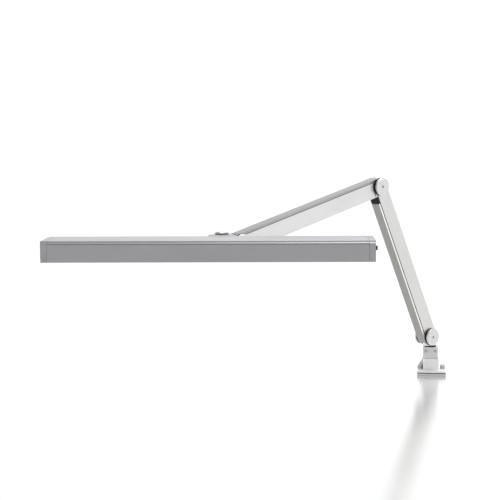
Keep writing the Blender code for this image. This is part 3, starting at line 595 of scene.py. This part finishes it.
def button_screw(node, origin, axis, shank, across):
    """A low domed screw with a hexagon socket. The origin is where its head meets its seat's face."""
    low, high, radius = extent(node, origin, axis)
    depth = high - low
    seat = high - min(0.35 * depth, 0.7 * radius)
    rings = hex_socket(across, high, 0.5 * radius)
    dome = high - seat
    mouth = across / math.sqrt(3) + 0.3 * MM
    for degrees in range(20, 90, 14):
        angle = math.radians(degrees)
        spread = mouth + (radius - mouth) * math.sin(angle)
        rings.append((spread, seat + dome * (0.15 + 0.85 * math.cos(angle))))
    rings += [(radius, seat + 0.1 * dome), (radius, seat), (shank, seat), (shank, low)]
    piece = turned(node + "_fine", rings, origin, axis, SMALL)
    return stands_for(piece, node, "steel")


def make_gland(back):
    """A cable gland: hexagon body, ribbed dome nut, rounded mouth."""
    end = extent("cable_gland", ORIGIN, back)[1]
    origin = back * (end - GLAND_LENGTH) + UP * middle("cable_gland", UP)
    near, far, radius = extent("cable_gland", origin, back)
    body = 0.38 * far
    bore = 3.8 * MM
    rib = ribbed_form(14, 0.05)
    rings = [(bore + 1.2 * MM, far), (bore + 2.2 * MM, far - 0.5 * MM), (radius * 0.97, far - 2.2 * MM)]
    rings += [(radius, far - 3.0 * MM, rib), (radius, body + 0.7 * MM, rib)]
    rings += [(radius * 0.92, body + 0.5 * MM), (radius * 0.92, body + 0.2 * MM)]
    rings += [(radius * 0.94, body), (radius, body - 0.3 * MM, hex_form), (radius, 0.6 * MM, hex_form)]
    rings += [(radius * 0.86, 0.3 * MM), (5.0 * MM, 0.3 * MM), (5.0 * MM, near), (bore, near)]
    rings += [(bore, far - 0.8 * MM), (bore + 0.8 * MM, far - 0.2 * MM)]
    piece = turned("cable_gland_fine", rings, origin, back, 84, closed=True)
    stands_for(piece, "cable_gland", "plastic")


# ---- turret and arms ---------------------------------------------------------------------------
def make_arms():
    dressed("swivel_washer", "plastic", 0.3 * MM)
    dressed("shoulder_knuckle", "cast")
    dressed("swivel_shaft", "steel")
    dressed("retaining_ring", "steel")
    dressed("lower_arm_profile", "arm_lower", 0.5 * MM)
    dressed("lower_arm_cover", "cover_lower", 0.5 * MM)
    dressed("elbow_cable_guide", "plastic", 0.3 * MM)
    dressed("upper_arm_profile", "arm_upper", 0.5 * MM)
    dressed("upper_arm_cover", "cover_upper", 0.5 * MM)
    dressed("elbow_tongue", "cast")
    for name, pivot in (("shoulder", SHOULDER), ("elbow", ELBOW), ("wrist", WRIST)):
        bolt = dressed(name + "_bolt", "steel")
        bore = extent(bolt.name, pivot, NEAR)[2] + 0.25 * MM
        for side, axis in (("near", NEAR), ("far", FAR)):
            pivot_disc(f"{name}_disc_{side}", pivot, axis)
            pivot_washer(f"{name}_washer_{side}", pivot, axis, bore)


# ---- wrist and bracket -------------------------------------------------------------------------
def make_wrist():
    dressed("wrist_knuckle", "cast")
    dressed("swivel_liner_lower", "plastic")
    dressed("swivel_liner_upper", "plastic")
    dressed("head_bracket", "bracket", 0.5 * MM)
    dressed("head_swivel_bolt", "steel")
    dressed("tilt_washer_left", "plastic")
    dressed("tilt_washer_right", "plastic")

    low, high, corner = extent("swivel_cap", SWIVEL, UP)
    crown = 0.80 * corner
    top_dip = chamfer_dip(corner, crown)
    rings = hex_socket(6.0 * MM, high, 1.1 * MM)
    rings += [(0.55 * corner, high), (0.60 * corner, high - 0.12 * MM), (crown, high - 0.15 * MM)]
    rings += [(corner, high - 0.15 * MM, hex_form, top_dip), (corner, low + 0.3 * MM, hex_form)]
    rings += [(corner - 0.3 * MM, low, hex_form)]
    nut = turned("swivel_nut", rings, SWIVEL, UP, sharp=40)
    stands_for(nut, "swivel_cap", "chrome")

    seat = TILT + RIGHT * (extent("tilt_screw", TILT, RIGHT)[1] - TILT_HEAD)
    socket_screw("tilt_screw", seat, RIGHT, 4.0 * MM, 5.0 * MM, 0.9 * MM)
    low, high, radius = extent("tilt_nut", TILT, RIGHT)
    bore = 4.2 * MM
    rings = [(radius * 0.84, high), (radius, high - 0.7 * MM, hex_form), (radius, low + 0.7 * MM, hex_form)]
    rings += [(radius * 0.84, low), (bore + 0.5 * MM, low), (bore, low + 0.5 * MM)]
    rings += [(bore, high - 0.5 * MM), (bore + 0.5 * MM, high)]
    nut = turned("tilt_nut_fine", rings, TILT, RIGHT, SMALL, closed=True)
    stands_for(nut, "tilt_nut", "steel")


# ---- head ---------------------------------------------------------------------------------------
def make_head():
    dressed("head_housing", "head", 0.25 * MM)
    dressed("rail_clamp", "cast", 0.3 * MM)
    dressed("led_driver", "driver", 0.4 * MM)
    for side, axis in (("left", -RIGHT), ("right", RIGHT)):
        dressed("end_cap_" + side, "end_cap", 0.5 * MM)
        for number in (1, 2):
            node = f"end_screw_{side}_{number}"
            low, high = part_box(node)
            origin = (low + high) / 2
            origin.x = high.x if side == "right" else low.x
            button_screw(node, origin, axis, SMALL_SHANK, SMALL_SOCKET)
    make_button()
    make_diffuser()
    make_board()


def make_button():
    low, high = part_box("button_collar")
    origin = (low + high) / 2
    origin.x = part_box("end_cap_right")[1].x
    near, far, radius = extent("button_collar", origin, RIGHT)
    bore = 4.7 * MM
    neck = 5.5 * MM
    rings = [(radius - 0.7 * MM, far), (radius, far - 0.7 * MM), (radius, 0.3 * MM), (neck, 0.3 * MM)]
    rings += [(neck, near), (bore, near), (bore, far - 0.4 * MM), (bore + 0.4 * MM, far)]
    collar = turned("button_collar_fine", rings, origin, RIGHT, SMALL, closed=True)
    stands_for(collar, "button_collar", "plastic")

    near, far, radius = extent("dimmer_button", origin, RIGHT)
    rings = [(0.5 * MM, far - 0.45 * MM), (radius * 0.45, far - 0.32 * MM), (radius * 0.66, far - 0.05 * MM)]
    rings += [(radius * 0.74, far), (radius * 0.90, far - 0.15 * MM), (radius, far - 0.7 * MM)]
    rings += [(radius, near)]
    button = turned("dimmer_button_fine", rings, origin, RIGHT, SMALL)
    stands_for(button, "dimmer_button", "plastic")


def make_diffuser():
    """A frosted strip whose underside is drawn into fine lens ridges along its length."""
    low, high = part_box("diffuser")
    ridges = 26
    pitch = (high.y - low.y) / ridges
    rise = 0.5 * MM
    outline = [(low.y, high.z)]
    for i in range(ridges):
        for share in (0.0, 0.25, 0.5, 0.75):
            drop = rise * math.sin(math.pi * share)
            outline.append((low.y + pitch * (i + share), low.z + rise - drop))
    outline += [(high.y, low.z + rise), (high.y, high.z)]
    made = bmesh.new()
    ends = [[made.verts.new((x, y, z)) for y, z in outline] for x in (low.x, high.x)]
    made.faces.new(ends[0])
    made.faces.new(ends[1][::-1])
    for i in range(len(outline)):
        j = (i + 1) % len(outline)
        made.faces.new((ends[0][i], ends[1][i], ends[1][j], ends[0][j]))
    bmesh.ops.recalc_face_normals(made, faces=made.faces)
    strip = mesh_object("diffuser_ribbed", made, (0, 0, 0), WORLD_BASIS, 50)
    stands_for(strip, "diffuser", "opal")


def make_board():
    """The light board: a white plate with two rows of chips, each in its own white frame."""
    low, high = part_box("led_board")
    made = bmesh.new()
    add_box(made, low, high)
    board = mesh_object("led_board_plate", made, (0, 0, 0), WORLD_BASIS)
    bevel = board.modifiers.new("Edges", "BEVEL")
    bevel.width = 0.3 * MM
    stands_for(board, "led_board", "board")
    frames = bmesh.new()
    chips = bmesh.new()
    count = 42
    pitch = (high.x - low.x) / count
    frame_size = Vector((3.8, 3.4, 0.78)) * MM
    chip_size = Vector((2.6, 2.2, 0.18)) * MM
    frame_drop = 0.41 * MM
    chip_drop = 0.91 * MM
    for row in (0.3, 0.7):
        y = low.y + (high.y - low.y) * row
        for i in range(count):
            x = low.x + pitch * (i + 0.5)
            for made, drop, size in ((frames, frame_drop, frame_size), (chips, chip_drop, chip_size)):
                centre = Vector((x, y, low.z - drop))
                add_box(made, centre - size / 2, centre + size / 2)
    for name, made, look in (("led_frames", frames, "board"), ("led_chips", chips, "chip")):
        obj = mesh_object(name, made, (0, 0, 0), WORLD_BASIS)
        obj.data.materials.append(LOOKS[look])
        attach(obj, BODY_OF["led_board"])


def add_box(made, low, high):
    size = high - low
    centre = (low + high) / 2
    matrix = Matrix.LocRotScale(centre, None, size)
    bmesh.ops.create_cube(made, size=1.0, matrix=matrix)


# ---- studio ---------------------------------------------------------------------------------------
def make_camera():
    data = bpy.data.cameras.new("camera")
    data.lens = CAMERA_LENS
    data.sensor_width = 36
    data.clip_start = 0.05
    data.clip_end = 100
    camera = bpy.data.objects.new("camera", data)
    flat = math.cos(CAMERA_PITCH)
    look = Vector((math.sin(CAMERA_YAW) * flat, math.cos(CAMERA_YAW) * flat, math.sin(CAMERA_PITCH)))
    side = look.cross(UP).normalized()
    over = side.cross(look)
    right = side * math.cos(CAMERA_ROLL) + over * math.sin(CAMERA_ROLL)
    upright = over * math.cos(CAMERA_ROLL) - side * math.sin(CAMERA_ROLL)
    rotation = Matrix((right, upright, -look)).transposed()
    camera.matrix_world = Matrix.LocRotScale(Vector(CAMERA_PLACE), rotation, None)
    bpy.context.scene.collection.objects.link(camera)
    bpy.context.scene.camera = camera


def soft_box(name, place, aim, width, height, power):
    data = bpy.data.lights.new(name, "AREA")
    data.shape = "RECTANGLE"
    data.size = width
    data.size_y = height
    data.energy = power
    light = bpy.data.objects.new(name, data)
    light.location = place
    light.rotation_euler = (Vector(aim) - Vector(place)).to_track_quat("-Z", "Y").to_euler()
    bpy.context.scene.collection.objects.link(light)


def make_room():
    """The studio's own light, seen in the metal: brighter to the right, behind and above."""
    world = bpy.data.worlds.new("studio")
    bpy.context.scene.world = world
    world.use_nodes = True
    nodes = world.node_tree.nodes
    links = world.node_tree.links
    nodes.clear()
    place = nodes.new("ShaderNodeTexCoord")
    slope = nodes.new("ShaderNodeVectorMath")
    slope.operation = "DOT_PRODUCT"
    slope.inputs[1].default_value = ROOM_SLOPE
    level = nodes.new("ShaderNodeMath")
    level.operation = "ADD"
    level.inputs[1].default_value = ROOM_LEVEL
    seen = nodes.new("ShaderNodeLightPath")
    mix = nodes.new("ShaderNodeMix")
    mix.data_type = "FLOAT"
    mix.inputs["B"].default_value = BACKGROUND_WHITE
    background = nodes.new("ShaderNodeBackground")
    background.inputs["Color"].default_value = (1, 1, 1, 1)
    output = nodes.new("ShaderNodeOutputWorld")
    links.new(place.outputs["Generated"], slope.inputs[0])
    links.new(slope.outputs["Value"], level.inputs[0])
    links.new(seen.outputs["Is Camera Ray"], mix.inputs["Factor"])
    links.new(level.outputs[0], mix.inputs["A"])
    links.new(mix.outputs[0], background.inputs["Strength"])
    links.new(background.outputs[0], output.inputs["Surface"])


def make_floor():
    """A pale, slightly glossy table top that shows a blurred reflection under the base."""
    look = Look("floor_gloss", (0.95, 0.95, 0.95), 0.85, 0.20)
    look.shader.inputs["IOR"].default_value = 1.48
    place = look.coordinates(WORLD_BASIS)
    haze = look.noise(place, (3, 3, 3), 3.0)
    colour = look.blend(haze, 0.995, 1.0, 0.2)
    look.finish(colour, look.roughened(haze, 0.0, 0.04), haze, 0.0, 0.0001)
    made = bmesh.new()
    bmesh.ops.create_grid(made, x_segments=4, y_segments=4, size=FLOOR_HALF)
    floor = mesh_object("floor", made, (0, 0, -FLOOR_DROP), WORLD_BASIS)
    floor.data.materials.append(look.material)


def make_studio():
    make_room()
    make_floor()
    soft_box("soft_top", (0.3, 0.2, 2.4), (-0.15, -0.2, 0.2), 2.4, 2.4, 50)
    soft_box("soft_right", (2.2, -0.9, 0.9), (-0.1, -0.2, 0.3), 1.2, 1.6, 2)
    bpy.context.scene.view_settings.view_transform = "Standard"


def plain(corners):
    return [list(corner) for corner in corners]


make_camera()
make_base()
make_arms()
make_wrist()
make_head()
make_studio()
